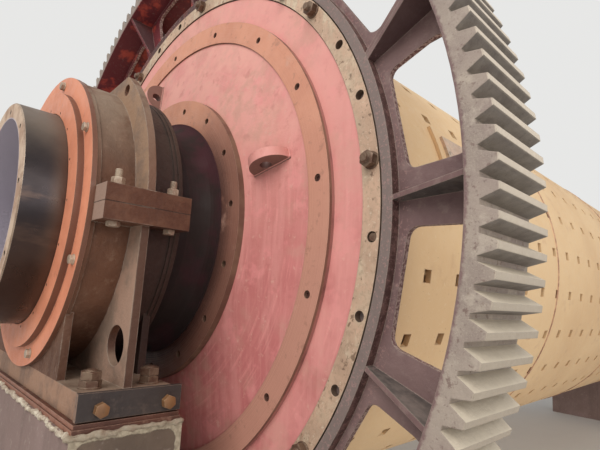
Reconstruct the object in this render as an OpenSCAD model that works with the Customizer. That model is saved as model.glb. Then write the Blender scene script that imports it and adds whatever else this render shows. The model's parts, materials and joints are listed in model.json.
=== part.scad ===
// Trunnion ball mill on two bearings and piers, with a split ring gear at one end.
// Millimetres, +Z up, floor at z = 0. The mill axis lies along X, the gear end at -X.

/* [Drum] */
// Length of the shell between its two end flanges
shell_len = 7000; // [5000:50:9000]
// Outside radius of the shell
shell_r = 1123; // [1060:1:1180]
// Thickness of the shell plate
shell_t = 23; // [16:1:40]
// Height of the mill axis above the floor
axis_h = 1850; // [1700:5:2400]

/* [End flanges] */
// Radial width of the flange at each end of the shell
flange_w = 78; // [60:1:100]
// Thickness of the shell flange
flange_t = 40; // [25:1:60]
// Thickness of the bolted clamp ring at the gear end
ring_t = 24; // [15:1:40]
// Number of bolt holes in the flange circle
flange_holes = 32; // [24:2:48]
// Radius of a flange bolt hole
flange_hole_r = 16.5; // [10:0.5:20]

/* [End covers] */
// Width of the plain outer band of a cover
outer_band_w = 114; // [80:1:140]
// Width of the raised machined band inside it
inner_band_w = 93; // [60:1:120]
// Thickness of the raised band
inner_band_t = 12; // [6:1:25]
// How far the cone of the cover rises towards the neck
cone_rise = 48; // [20:1:100]
// Number of bolt holes in the raised band and in the neck ring
cover_holes = 16; // [12:2:24]
// Radius of those bolt holes
cover_hole_r = 13; // [6:0.5:16]
// Outside radius of a half-round lifting lug
lug_r = 83; // [50:1:100]

/* [Trunnions] */
// Radius of the journal that runs in the bearing
journal_r = 403; // [340:1:440]
// Wall thickness of the journal
journal_wall = 58; // [40:1:80]
// Radius of the neck where it meets the cover
neck_r = 522; // [490:1:560]
// Outside radius of the bolted neck ring
neck_ring_r = 634; // [600:1:680]
// Thickness of the neck ring
neck_ring_t = 26; // [15:1:40]
// Length of journal that shows outside the bearing
journal_tail = 130; // [60:1:300]
// Number of tapped holes in the journal's end face
end_holes = 10; // [6:2:16]
// Radius of those tapped holes
end_hole_r = 9; // [5:0.5:12]

/* [Ring gear] */
// Module of the teeth
gear_module = 20; // [18:1:24]
// Distance from the rim of the shell flange to the pitch circle
gear_reach = 359; // [300:1:420]
// Width of the toothed face
face_w = 290; // [220:2:340]
// Depth of solid rim below the tooth roots
rim_t = 35; // [25:1:60]
// Thickness of the gear where it is bolted between shell flange and clamp ring
web_t = 42; // [30:1:60]
// Thickness of the web plate between collar and rim
plate_t = 18; // [12:1:28]
// Width of the raised collar round the flange
collar_w = 35; // [20:1:50]
// Height of the collar above the bolted part
collar_rise = 22; // [10:1:40]
// Number of ribs round the gear, counting the two joints
ribs = 16; // [12:2:20]
// Thickness of a rib
rib_t = 15; // [10:1:30]
// Thickness of one joint plate
joint_t = 14; // [10:1:30]
// Angle of the split above the horizontal
joint_angle = 24.6; // [0:0.1:60]
// Strip of web between the collar and a window
window_foot = 22; // [12:1:40]
// Strip of web between a window and the rim
window_head = 25; // [18:1:40]
// Angle between the middle of a rib and the side of a window
window_margin = 3.7; // [2.5:0.1:5]
// Corner radius of a window at the rim
window_corner = 55; // [20:1:70]
// Corner radius of a window at the collar
window_foot_corner = 35; // [15:1:60]

/* [Bearings] */
// Distance from the shell's end face to the bearing barrel
barrel_off = 350; // [320:5:500]
// Radius of the bearing barrel
barrel_r = 545; // [500:1:600]
// Length of the barrel along the mill axis
barrel_len = 280; // [220:2:360]
// Radius of the housing bore
housing_bore_r = 468; // [440:1:480]
// Thickness of each split flange
split_t = 55; // [35:1:80]
// Distance from the axis to the outer face of a split flange
split_y = 642; // [600:1:700]
// Thickness of the middle rib
brg_rib_t = 26; // [18:1:40]
// Outside radius of the rib on the cap
cap_rib_r = 637; // [600:1:680]
// Radius of the large hole in each lower rib
rib_hole_r = 62; // [30:1:75]
// Thickness of the seal cover's flange
seal_flange_t = 16; // [10:1:25]
// Height of the raised hub of a seal cover
seal_hub_t = 22; // [10:1:40]
// Outside radius of the raised hub of a seal cover
seal_hub_r = 486; // [450:1:500]
// Radius of a screw hole in a seal cover's flange
seal_hole_r = 9; // [6:0.5:12]
// Number of tapped holes in the hub of a seal cover
hub_holes = 18; // [12:2:24]
// Radius of those tapped holes
hub_hole_r = 5; // [3:0.5:8]

/* [Feet and piers] */
// Half width of the bearing foot across the mill
foot_y = 645; // [640:1:720]
// Thickness of the bearing foot
foot_t = 74; // [50:1:100]
// Half width of the end plates under the barrel
leg_y = 430; // [360:1:480]
// Thickness of the end plates under the barrel
leg_t = 25; // [16:1:40]
// Thickness of a stop plate
stop_t = 15; // [10:1:25]
// Height of a stop plate
stop_h = 74; // [50:1:100]
// Thickness of the lower sole plate
sole_t = 14; // [10:1:40]
// Thickness of the packing plate on it
packing_t = 12; // [8:1:30]
// How far each plate under the foot reaches past the one above
plate_step = 4; // [1:1:10]
// How far a pier reaches past its sole plate
pier_lip = 6; // [2:1:60]
// Radius of an anchor bolt hole
anchor_r = 20; // [16:0.5:26]

/* [Manhole] */
// Distance of the manhole from the gear end of the shell
manhole_at = 490; // [400:10:3000]
// Length of the manhole frame along the mill
manhole_len = 460; // [300:5:600]
// Width of the manhole frame round the shell
manhole_w = 360; // [250:5:450]
// Angle of the manhole above the horizontal
manhole_angle = 16; // [-60:1:120]

/* [Hidden] */
// Facets of round solids
fine = 128;
small = 20;
// Overlap that keeps one casting's solids fused, and cutters clear of faces
eps = 1;
// Gap between the machined flange circle and what fits inside or round it
fit_gap = 4;
// Radial running gap between journal and liner
run_gap = 0.1;
// Radial gap between journal and seal cover
seal_gap = 2;
// Gap along the mill between a turning shoulder and a seal cover
shoulder_gap = 10;
// The cover laps this far past the shell, and the clamp ring clears it by the gap
cover_lap = 11;
ring_gap = 3;
// The flange holes lie this far outside the middle of the clamp ring
hole_shift = 6;
flange_r = shell_r + flange_w;
cover_r = shell_r + cover_lap;
ring_in_r = cover_r + ring_gap;
flange_pitch_r = (flange_r + ring_in_r) / 2 + hole_shift;
// Steps between the faces of the cover, measured outwards
ring_proud = 6;
band_step = 12;
cone_step = 4;
outer_face = web_t + ring_t - ring_proud;
band_out_r = cover_r - outer_band_w;
band_in_r = band_out_r - inner_band_w;
band_hole_at = band_in_r + inner_band_w * 0.46;
band_seat = outer_face + band_step;
band_face = band_seat + inner_band_t;
cone_foot = band_seat + cone_step;
neck_seat = cone_foot + cone_rise;
neck_face = neck_seat + neck_ring_t;
neck_hole_at = (neck_ring_r + neck_r) / 2 + 3;
cover_t = 60;
// The cover's hub is this much thinner, and the cone ends this far outside the neck ring
hub_thin = 10;
cone_lip = 6;
// The trunnion's spigot stops this much short of the cover's inner face
spigot_short = 12;
spigot_r = journal_r + 27;
bore_r = journal_r - journal_wall;
brg_u = barrel_len / 2 + barrel_off;
seal_t = seal_flange_t + seal_hub_t;
shoulder_u = barrel_off - seal_t - shoulder_gap;
shoulder_r = journal_r + 42;
shoulder_len = 30;
// Step and start of the flare behind the shoulder
flare_step = 14;
flare_end = shoulder_u - 50;
flare_start = neck_face + 6;
flare_steps = 10;
end_u = barrel_off + barrel_len + seal_t + journal_tail;
end_pitch_r = bore_r + journal_wall * 0.42;
end_hole_depth = 40;
edge = 4;
// Angles of the first hole, bolt or lug above the horizontal
flange_turn = 8.1;
cover_turn = 8.3;
end_turn = 9.4;
lug_turn = 17;
lug_at = band_in_r - 153;
lug_t = 36;
lug_sink = 20;
lug_hole_r = 22;
lug_hole_up = 30;
// An even number of teeth, so that the gear splits in two through a gap
teeth = 2 * round((flange_r + gear_reach) / gear_module);
pitch_r = gear_module * teeth / 2;
tip_r = pitch_r + gear_module;
root_r = pitch_r - 1.25 * gear_module;
rim_r = root_r - 7;
rim_in_r = root_r - rim_t;
gear_mid = web_t / 2;
web_in_r = ring_in_r + 2;
collar_in_r = flange_r + fit_gap;
collar_out_r = collar_in_r + collar_w;
tooth_pitch = 360 / teeth;
// A tooth's half thickness at pitch, tip and root for a 20 degree flank
half_pitch_w = gear_module * PI / 4;
flank = tan(20);
tip_half = (half_pitch_w - gear_module * flank) / tip_r * 180 / PI;
root_half = (half_pitch_w + 1.25 * gear_module * flank) / root_r * 180 / PI;
teeth_half = teeth / 2;
rib_step = 360 / ribs;
windows_half = ribs / 2;
// Ribs end this much below the collar's and the rim's faces
rib_step_down = 4;
// How deep the ribs and the teeth reach into the collar and the rim
rib_sink = 6;
rim_lap = 10;
window_in_r = collar_out_r + window_foot;
window_out_r = rim_in_r - window_head;
corner_steps = 5;
rim_steps = 60;
// Bolts of a gear joint, as shares of the way from collar to rim
joint_bolts = [0.28, 0.5, 0.72];
joint_bolt_r = 13;
joint_bolt_z = plate_t / 2 + 34;
// The foot's top laps a little over the lowest line of the barrel
foot_lap = 4;
// How deep the rib and the end plates reach into the foot
foot_sink = 2;
foot_top = barrel_r - foot_lap;
foot_z = foot_top + foot_t;
sole_z = foot_z + packing_t + sole_t;
pier_h = axis_h - sole_z;
// Half lengths and half widths of what lies under the foot
stop_x = barrel_len / 2 + 14;
packing_x = barrel_len / 2 + 14;
packing_y = foot_y + stop_t;
sole_x = packing_x + plate_step;
sole_y = packing_y + plate_step;
pier_x = sole_x + pier_lip;
pier_y = sole_y + pier_lip;
// A stop plate stands off the packing plate and lies a little towards the drum, its bolts more so
stop_lift = 5;
stop_shift = 3;
stop_bolt_shift = 12;
stop_bolt_x = barrel_len / 2 - 40;
stop_bolt_z = foot_z - 33;
stop_bolt_r = 13;
anchor_x = barrel_len / 2 - 50;
anchor_y = foot_y - 76;
stud_x = barrel_len / 2 - 48;
stud_y = split_y - 46;
stud_r = 13;
// The split flanges start this far outside the bore
split_sink = 20;
// The end plates end below the point where their sides meet the barrel
leg_drop = 32;
leg_top = sqrt(pow(barrel_r, 2) - pow(leg_y, 2)) - leg_drop;
// Raised lip round each end of the barrel
lip_rise = 5;
lip_len = 14;
rib_y = foot_y - 25;
rib_hole_y = rib_y - 93;
rib_hole_z = foot_top - 113;
ear_angle = 55;
ear_end_angle = 72;
ear_sink = 8;
lift_hole_r = 22;
lift_hole_at = cap_rib_r - 43;
lift_hole_angle = 52;
// The liner is shorter than the barrel at each end, clears its seat and wraps the journal
liner_short = 20;
liner_gap = 0.1;
liner_angle = 150;
seal_r = barrel_r + 8;
seal_bore_r = journal_r + seal_gap;
seal_hole_at = (seal_r + seal_hub_r) / 2;
hub_hole_at = seal_bore_r + 11;
hub_turn = 7.7;
// Screws of a seal cover, measured from the top
seal_screws = [12, 60, 109.5, 161, 213.5, 266.5, 319.5];
manhole_rim = 45;
manhole_frame_t = 14;
manhole_door_t = 12;
// The frame's underside lies a weld gap off the shell
pad_r = shell_r + 0.3;
frame_r = shell_r + manhole_frame_t;

MACHINED = [0.62, 0.55, 0.46];
PINK = [0.80, 0.45, 0.42];
ORANGE = [0.80, 0.45, 0.33];
JOURNAL = [0.26, 0.27, 0.30];
MAUVE = [0.45, 0.33, 0.32];
CASTING = [0.40, 0.32, 0.26];
SHELL = [0.85, 0.66, 0.46];
PLATE = [0.36, 0.30, 0.27];
CONCRETE = [0.55, 0.48, 0.45];
BRONZE = [0.60, 0.48, 0.25];

// Frame of the gear end: local z runs outwards from the shell's end face, local x is up.
module gear_end() {
    translate([-shell_len / 2, 0, axis_h])
        rotate([0, -90, 0])
            children();
}

// The same frame at the feed end.
module feed_end() {
    rotate([0, 0, 180])
        gear_end()
            children();
}

// Frame of a bearing: origin on the axis at mid bearing, x along the mill.
module gear_bearing() {
    translate([-shell_len / 2 - brg_u, 0, axis_h])
        children();
}

module feed_bearing() {
    rotate([0, 0, 180])
        gear_bearing()
            children();
}

// Flat ring from u0 to u1 along local z.
module ring(out_r, in_r, u0, u1) {
    translate([0, 0, u0])
        difference() {
            cylinder(r = out_r, h = u1 - u0, $fn = fine);
            translate([0, 0, -eps])
                cylinder(r = in_r, h = u1 - u0 + 2 * eps, $fn = fine);
        }
}

// Circle of through holes along local z.
module hole_circle(count, at_r, hole_r, u0, u1, start = 0) {
    for (i = [0 : count - 1])
        rotate([0, 0, start + i * 360 / count])
            translate([at_r, 0, u0])
                cylinder(r = hole_r, h = u1 - u0, $fn = small);
}

// Cylinder along X through the frame's origin.
module along_x(r, len) {
    rotate([0, 90, 0])
        cylinder(r = r, h = len, center = true, $fn = fine);
}

module shell() {
    color(SHELL)
        gear_end()
            ring(shell_r, shell_r - shell_t, flange_t - shell_len, -flange_t);
}

module shell_flange_gear_end() {
    color(SHELL)
        gear_end()
            ring(flange_r, shell_r - shell_t, -flange_t, 0);
}

module shell_flange_feed_end() {
    color(SHELL)
        feed_end()
            ring(flange_r, shell_r - shell_t, -flange_t, 0);
}

// Curved pad on the outside of the shell: a block cut to two radii.
module shell_pad(in_r, out_r, len, wide) {
    translate([-shell_len / 2 + manhole_at, 0, axis_h])
        rotate([180 - manhole_angle, 0, 0])
            intersection() {
                rotate([0, 90, 0])
                    difference() {
                        cylinder(r = out_r, h = manhole_len, $fn = fine);
                        translate([0, 0, -eps])
                            cylinder(r = in_r, h = manhole_len + 2 * eps, $fn = fine);
                    }
                translate([(manhole_len - len) / 2, 0, -wide / 2])
                    cube([len, out_r + eps, wide]);
            }
}

module manhole_frame() {
    color(SHELL)
        shell_pad(pad_r, frame_r, manhole_len, manhole_w);
}

module manhole_door() {
    color(MACHINED)
        shell_pad(frame_r, frame_r + manhole_door_t,
            manhole_len - 2 * manhole_rim, manhole_w - 2 * manhole_rim);
}

// End cover: plain outer band, seat for the raised band, cone up to the neck seat.
module cover_shape() {
    union() {
        rotate_extrude($fn = fine)
            polygon([
                [spigot_r, neck_seat - cover_t + hub_thin],
                [neck_ring_r, neck_seat - cover_t],
                [band_in_r, cone_foot - cover_t],
                [band_out_r, 0],
                [cover_r, 0],
                [cover_r, outer_face],
                [band_out_r, outer_face],
                [band_out_r, band_seat],
                [band_in_r, band_seat],
                [band_in_r, cone_foot],
                [neck_ring_r + cone_lip, neck_seat],
                [spigot_r, neck_seat]
            ]);
        for (a = [0 : 90 : 270])
            rotate([0, 0, a + lug_turn - 90])
                lug();
    }
}

// Half-round lifting lug on the cone: its plate lies along the mill and points at the axis.
module lug() {
    lug_base = cone_foot + cone_rise * (band_in_r - lug_at) / (band_in_r - neck_ring_r - cone_lip);
    translate([lug_at, 0, lug_base])
        rotate([90, 0, 0])
            difference() {
                intersection() {
                    cylinder(r = lug_r, h = lug_t, center = true, $fn = fine);
                    translate([-lug_r, -lug_sink, -lug_t])
                        cube([2 * lug_r, lug_sink + lug_r, 2 * lug_t]);
                }
                translate([0, lug_hole_up, 0])
                    cylinder(r = lug_hole_r, h = 2 * lug_t, center = true, $fn = fine);
            }
}

module cover_gear_end() {
    color(PINK)
        gear_end()
            cover_shape();
}

module cover_feed_end() {
    color(PINK)
        feed_end()
            cover_shape();
}

module band_shape() {
    difference() {
        ring(band_out_r, band_in_r, band_seat, band_face);
        hole_circle(cover_holes, band_hole_at, cover_hole_r,
            band_seat - eps, band_face + eps, cover_turn - 90);
    }
}

module band_gear_end() {
    color(ORANGE)
        gear_end()
            band_shape();
}

module band_feed_end() {
    color(ORANGE)
        feed_end()
            band_shape();
}

module neck_ring_shape() {
    difference() {
        ring(neck_ring_r, neck_r, neck_seat, neck_face);
        hole_circle(cover_holes, neck_hole_at, cover_hole_r,
            neck_seat - eps, neck_face + eps, cover_turn - 90);
    }
}

module neck_ring_gear_end() {
    color(ORANGE)
        gear_end()
            neck_ring_shape();
}

module neck_ring_feed_end() {
    color(ORANGE)
        feed_end()
            neck_ring_shape();
}

// Hollow trunnion: spigot in the cover, flared neck, shoulder, journal.
module trunnion_shape(turn) {
    spigot_u = neck_seat - cover_t + spigot_short;
    flare_r = shoulder_r + flare_step;
    // A quarter of an ellipse from the neck down to the shoulder
    flare = [for (i = [0 : flare_steps])
        let (a = 90 * i / flare_steps)
        [flare_r + (neck_r - flare_r) * (1 - sin(a)),
            flare_start + (flare_end - flare_start) * (1 - cos(a))]];
    difference() {
        rotate_extrude($fn = fine)
            polygon(concat(
                [[bore_r, spigot_u], [spigot_r, spigot_u], [spigot_r, neck_seat], [neck_r, neck_seat]],
                flare,
                [
                    [shoulder_r, shoulder_u - shoulder_len],
                    [shoulder_r, shoulder_u],
                    [journal_r, shoulder_u],
                    [journal_r, end_u - edge],
                    [journal_r - edge, end_u],
                    [bore_r, end_u]
                ]
            ));
        hole_circle(end_holes, end_pitch_r, end_hole_r, end_u - end_hole_depth, end_u + eps, turn - 90);
    }
}

// The two ends' holes lie on the same lines along the mill.
module trunnion_gear_end() {
    color(JOURNAL)
        gear_end()
            trunnion_shape(end_turn);
}

module trunnion_feed_end() {
    color(JOURNAL)
        feed_end()
            trunnion_shape(-end_turn);
}

// Machined ring with the flange bolt holes.
module clamp_ring_shape(u0) {
    difference() {
        ring(flange_r, ring_in_r, u0, web_t + ring_t);
        hole_circle(flange_holes, flange_pitch_r, flange_hole_r,
            u0 - eps, web_t + ring_t + eps, flange_turn - 90);
    }
}

module clamp_ring_gear_end() {
    color(MACHINED)
        gear_end()
            clamp_ring_shape(web_t);
}

// With no gear at the feed end, the ring reaches down to the shell flange.
module clamp_ring_feed_end() {
    color(MACHINED)
        feed_end()
            clamp_ring_shape(0);
}

// Outline of the teeth of one half, closed inside the solid rim.
module teeth_outline() {
    outer = [for (i = [0 : teeth_half - 1], k = [0 : 3])
        let (
            mid = (i + 0.5) * tooth_pitch,
            a = mid + (k == 0 ? -root_half : k == 1 ? -tip_half : k == 2 ? tip_half : root_half),
            r = (k == 0 || k == 3) ? root_r : tip_r
        )
        [r * cos(a), r * sin(a)]];
    inner = [for (i = [0 : rim_steps])
        let (a = 180 - i * 180 / rim_steps)
        [(rim_r - rim_lap) * cos(a), (rim_r - rim_lap) * sin(a)]];
    polygon(concat([[root_r, 0]], outer, [[-root_r, 0]], inner));
}

// Window between two ribs, centred on local +x, with radial sides and rounded corners.
module window_outline() {
    half_a = rib_step / 2 - window_margin;
    in_x = window_in_r + window_foot_corner;
    out_x = window_out_r - window_corner;
    // Corner centres lie one corner radius inside the two sides
    in_y = in_x * tan(half_a) - window_foot_corner / cos(half_a);
    out_y = out_x * tan(half_a) - window_corner / cos(half_a);
    // Centre, radius, first and last angle of each corner
    corners = [
        [in_x, -in_y, window_foot_corner, -180, -90 - half_a],
        [out_x, -out_y, window_corner, -90 - half_a, 0],
        [out_x, out_y, window_corner, 0, 90 + half_a],
        [in_x, in_y, window_foot_corner, 90 + half_a, 180]
    ];
    polygon([for (c = corners, i = [0 : corner_steps])
        let (a = c[3] + (c[4] - c[3]) * i / corner_steps)
        [c[0] + c[2] * cos(a), c[1] + c[2] * sin(a)]]);
}

// Rib seen from the side: low at the collar, nearly full width at the rim.
module rib_shape(thick) {
    low = web_t / 2 + collar_rise - rib_step_down;
    high = face_w / 2 - rib_step_down;
    rotate([90, 0, 0])
        linear_extrude(height = thick, center = true)
            polygon([
                [collar_out_r - rib_sink, gear_mid - low],
                [rim_in_r + rib_sink, gear_mid - high],
                [rim_in_r + rib_sink, gear_mid + high],
                [collar_out_r - rib_sink, gear_mid + low]
            ]);
}

// One half of the split ring gear, from local angle 0 to 180.
module gear_half() {
    difference() {
        union() {
            rotate_extrude(angle = 180, $fn = fine)
                polygon([
                    [web_in_r, 0],
                    [collar_in_r, 0],
                    [collar_in_r, -collar_rise],
                    [collar_out_r, -collar_rise],
                    [collar_out_r, gear_mid - plate_t / 2],
                    [rim_in_r, gear_mid - plate_t / 2],
                    [rim_in_r, gear_mid - face_w / 2],
                    [rim_r, gear_mid - face_w / 2],
                    [rim_r, gear_mid + face_w / 2],
                    [rim_in_r, gear_mid + face_w / 2],
                    [rim_in_r, gear_mid + plate_t / 2],
                    [collar_out_r, gear_mid + plate_t / 2],
                    [collar_out_r, web_t + collar_rise],
                    [collar_in_r, web_t + collar_rise],
                    [collar_in_r, web_t],
                    [web_in_r, web_t]
                ]);
            translate([0, 0, gear_mid - face_w / 2])
                linear_extrude(height = face_w)
                    teeth_outline();
            for (i = [1 : windows_half - 1])
                rotate([0, 0, i * rib_step])
                    rib_shape(rib_t);
            translate([0, joint_t / 2, 0])
                rib_shape(joint_t);
            rotate([0, 0, 180])
                translate([0, -joint_t / 2, 0])
                    rib_shape(joint_t);
        }
        for (i = [0 : windows_half - 1])
            rotate([0, 0, (i + 0.5) * rib_step])
                translate([0, 0, -eps])
                    linear_extrude(height = web_t + 2 * eps)
                        window_outline();
        // Bolt holes of the two joints, on the side towards the shell
        for (s = [0, 1], share = joint_bolts)
            rotate([0, 0, s * 180])
                translate([collar_out_r + (rim_in_r - collar_out_r) * share, -2 * joint_t,
                    gear_mid - joint_bolt_z])
                    rotate([-90, 0, 0])
                        cylinder(r = joint_bolt_r, h = 4 * joint_t, $fn = small);
    }
}

module ring_gear_upper_half() {
    color(MAUVE)
        gear_end()
            rotate([0, 0, joint_angle - 90])
                gear_half();
}

module ring_gear_lower_half() {
    color(MAUVE)
        gear_end()
            rotate([0, 0, joint_angle + 90])
                gear_half();
}

// Block that clears everything above or below the split plane.
module half_space(up) {
    size = 4 * barrel_r;
    translate([-size / 2, -size / 2, up ? 0 : -size])
        cube([size, size, size]);
}

module split_flange(up) {
    for (s = [-1, 1])
        translate([-barrel_len / 2, s > 0 ? housing_bore_r + split_sink : -split_y, up ? 0 : -split_t])
            cube([barrel_len, split_y - housing_bore_r - split_sink, split_t]);
}

// Rib of the cap: an arc with a flat-topped lifting ear.
module cap_rib() {
    reach = cap_rib_r + 60;
    in_r = barrel_r - ear_sink;
    rotate([90, 0, 90])
        linear_extrude(height = brg_rib_t, center = true)
            difference() {
                intersection() {
                    circle(r = cap_rib_r, $fn = fine);
                    polygon([
                        [0, 0],
                        [reach, 0],
                        [reach, reach],
                        [cap_rib_r * cos(ear_angle), cap_rib_r * sin(ear_angle)],
                        [in_r * cos(ear_end_angle), in_r * sin(ear_end_angle)]
                    ]);
                }
                translate([lift_hole_at * cos(lift_hole_angle), lift_hole_at * sin(lift_hole_angle)])
                    circle(r = lift_hole_r, $fn = small);
            }
}

// Barrel of a bearing before it is bored and split.
module barrel() {
    along_x(barrel_r, barrel_len);
    for (s = [-1, 1])
        translate([s * (barrel_len - lip_len) / 2, 0, 0])
            along_x(barrel_r + lip_rise, lip_len);
}

module cap_shape() {
    difference() {
        union() {
            difference() {
                barrel();
                half_space(false);
            }
            split_flange(true);
            cap_rib();
            mirror([0, 1, 0])
                cap_rib();
        }
        along_x(housing_bore_r, barrel_len + 2 * eps);
        // Studs through the split flange
        stud_holes();
    }
}

module stud_holes() {
    for (x = [-1, 1], y = [-1, 1])
        translate([x * stud_x, y * stud_y, -split_t - eps])
            cylinder(r = stud_r, h = 2 * split_t + 2 * eps, $fn = small);
}

// Lower housing: half barrel, split flange, middle rib, end plates and foot in one casting.
module lower_shape() {
    difference() {
        union() {
            difference() {
                barrel();
                half_space(true);
            }
            split_flange(false);
            translate([-brg_rib_t / 2, -rib_y, -foot_top - foot_sink])
                cube([brg_rib_t, 2 * rib_y, foot_top + foot_sink - split_t / 2]);
            for (s = [-1, 1])
                translate([s > 0 ? barrel_len / 2 - leg_t : -barrel_len / 2, -leg_y, -foot_top - foot_sink])
                    cube([leg_t, 2 * leg_y, foot_top + foot_sink - leg_top]);
            translate([-barrel_len / 2, -foot_y, -foot_z])
                cube([barrel_len, 2 * foot_y, foot_t]);
        }
        along_x(housing_bore_r, barrel_len + 2 * eps);
        stud_holes();
        for (s = [-1, 1])
            translate([0, s * rib_hole_y, -rib_hole_z])
                rotate([0, 90, 0])
                    cylinder(r = rib_hole_r, h = 2 * brg_rib_t, center = true, $fn = fine);
        anchor_holes(-foot_z - eps, foot_t + 2 * eps);
    }
}

module anchor_holes(z0, h) {
    for (x = [-1, 1], y = [-1, 1])
        translate([x * anchor_x, y * anchor_y, z0])
            cylinder(r = anchor_r, h = h, $fn = small);
}

// Half bush under the journal.
module liner_shape() {
    rotate([0, 90, 0])
        rotate([0, 0, -liner_angle / 2])
            rotate_extrude(angle = liner_angle, $fn = fine)
                polygon([
                    [journal_r + run_gap, liner_short - barrel_len / 2],
                    [housing_bore_r - liner_gap, liner_short - barrel_len / 2],
                    [housing_bore_r - liner_gap, barrel_len / 2 - liner_short],
                    [journal_r + run_gap, barrel_len / 2 - liner_short]
                ]);
}

// Stepped seal cover on the outer face of the barrel; its hub points to -X.
module seal_shape() {
    translate([-barrel_len / 2, 0, 0])
        rotate([0, -90, 0])
            difference() {
                union() {
                    cylinder(r = seal_r, h = seal_flange_t, $fn = fine);
                    cylinder(r = seal_hub_r, h = seal_t, $fn = fine);
                }
                translate([0, 0, -eps])
                    cylinder(r = seal_bore_r, h = seal_t + 2 * eps, $fn = fine);
                for (a = seal_screws)
                    rotate([0, 0, -a])
                        translate([seal_hole_at, 0, -eps])
                            cylinder(r = seal_hole_r, h = seal_flange_t + 2 * eps, $fn = small);
                hole_circle(hub_holes, hub_hole_at, hub_hole_r, seal_flange_t, seal_t + eps, -hub_turn);
            }
}

module stop_plates_shape() {
    for (s = [-1, 1])
        translate([0, s * (foot_y + stop_t / 2), -foot_z])
            difference() {
                translate([stop_shift - stop_x, -stop_t / 2, stop_lift])
                    cube([2 * stop_x, stop_t, stop_h]);
                for (x = [-1, 1])
                    translate([stop_bolt_shift + x * stop_bolt_x, 0, foot_z - stop_bolt_z])
                        rotate([90, 0, 0])
                            cylinder(r = stop_bolt_r, h = stop_t + 2 * eps, center = true, $fn = small);
            }
}

module packing_shape() {
    difference() {
        translate([-packing_x, -packing_y, -foot_z - packing_t])
            cube([2 * packing_x, 2 * packing_y, packing_t]);
        anchor_holes(-foot_z - packing_t - eps, packing_t + 2 * eps);
    }
}

module sole_shape() {
    difference() {
        translate([-sole_x, -sole_y, -sole_z])
            cube([2 * sole_x, 2 * sole_y, sole_t]);
        anchor_holes(-sole_z - eps, sole_t + 2 * eps);
    }
}

module pier_shape() {
    translate([-pier_x, -pier_y, -axis_h])
        cube([2 * pier_x, 2 * pier_y, pier_h]);
}

module pier_gear_end() {
    color(CONCRETE)
        gear_bearing()
            pier_shape();
}

module pier_feed_end() {
    color(CONCRETE)
        feed_bearing()
            pier_shape();
}

module sole_plate_gear_end() {
    color(PLATE)
        gear_bearing()
            sole_shape();
}

module sole_plate_feed_end() {
    color(PLATE)
        feed_bearing()
            sole_shape();
}

module packing_plate_gear_end() {
    color(PLATE)
        gear_bearing()
            packing_shape();
}

module packing_plate_feed_end() {
    color(PLATE)
        feed_bearing()
            packing_shape();
}

module stop_plates_gear_end() {
    color(PLATE)
        gear_bearing()
            stop_plates_shape();
}

module stop_plates_feed_end() {
    color(PLATE)
        feed_bearing()
            stop_plates_shape();
}

module lower_housing_gear_end() {
    color(CASTING)
        gear_bearing()
            lower_shape();
}

module lower_housing_feed_end() {
    color(CASTING)
        feed_bearing()
            lower_shape();
}

module bearing_cap_gear_end() {
    color(CASTING)
        gear_bearing()
            cap_shape();
}

module bearing_cap_feed_end() {
    color(CASTING)
        feed_bearing()
            cap_shape();
}

module liner_gear_end() {
    color(BRONZE)
        gear_bearing()
            liner_shape();
}

module liner_feed_end() {
    color(BRONZE)
        feed_bearing()
            liner_shape();
}

module outer_seal_gear_end() {
    color(ORANGE)
        gear_bearing()
            seal_shape();
}

module outer_seal_feed_end() {
    color(ORANGE)
        feed_bearing()
            seal_shape();
}

module inner_seal_gear_end() {
    color(ORANGE)
        gear_bearing()
            rotate([0, 0, 180])
                seal_shape();
}

module inner_seal_feed_end() {
    color(ORANGE)
        feed_bearing()
            rotate([0, 0, 180])
                seal_shape();
}

pier_gear_end();
pier_feed_end();
sole_plate_gear_end();
sole_plate_feed_end();
packing_plate_gear_end();
packing_plate_feed_end();
stop_plates_gear_end();
stop_plates_feed_end();
lower_housing_gear_end();
lower_housing_feed_end();
bearing_cap_gear_end();
bearing_cap_feed_end();
liner_gear_end();
liner_feed_end();
outer_seal_gear_end();
outer_seal_feed_end();
inner_seal_gear_end();
inner_seal_feed_end();
shell();
shell_flange_gear_end();
shell_flange_feed_end();
manhole_frame();
manhole_door();
cover_gear_end();
cover_feed_end();
band_gear_end();
band_feed_end();
neck_ring_gear_end();
neck_ring_feed_end();
trunnion_gear_end();
trunnion_feed_end();
clamp_ring_gear_end();
clamp_ring_feed_end();
ring_gear_upper_half();
ring_gear_lower_half();
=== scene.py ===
import json
import math
import random
from collections import namedtuple
from math import cos, pi, radians, sin, tau

import bmesh
import bpy
from mathutils import Matrix, Vector, noise


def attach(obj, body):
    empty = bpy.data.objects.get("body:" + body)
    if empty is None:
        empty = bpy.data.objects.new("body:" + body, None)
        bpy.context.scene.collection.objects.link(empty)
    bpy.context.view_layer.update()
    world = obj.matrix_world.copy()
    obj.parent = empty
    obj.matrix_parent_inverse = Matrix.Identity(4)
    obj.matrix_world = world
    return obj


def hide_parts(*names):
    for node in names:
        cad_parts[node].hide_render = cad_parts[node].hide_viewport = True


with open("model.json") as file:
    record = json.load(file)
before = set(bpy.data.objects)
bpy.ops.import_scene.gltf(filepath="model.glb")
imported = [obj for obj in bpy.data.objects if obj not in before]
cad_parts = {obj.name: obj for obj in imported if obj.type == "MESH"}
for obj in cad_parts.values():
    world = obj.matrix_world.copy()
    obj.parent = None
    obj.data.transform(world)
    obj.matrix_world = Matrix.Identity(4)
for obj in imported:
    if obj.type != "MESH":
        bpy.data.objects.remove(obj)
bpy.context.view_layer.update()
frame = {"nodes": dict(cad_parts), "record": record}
scene = bpy.context.scene

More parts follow.
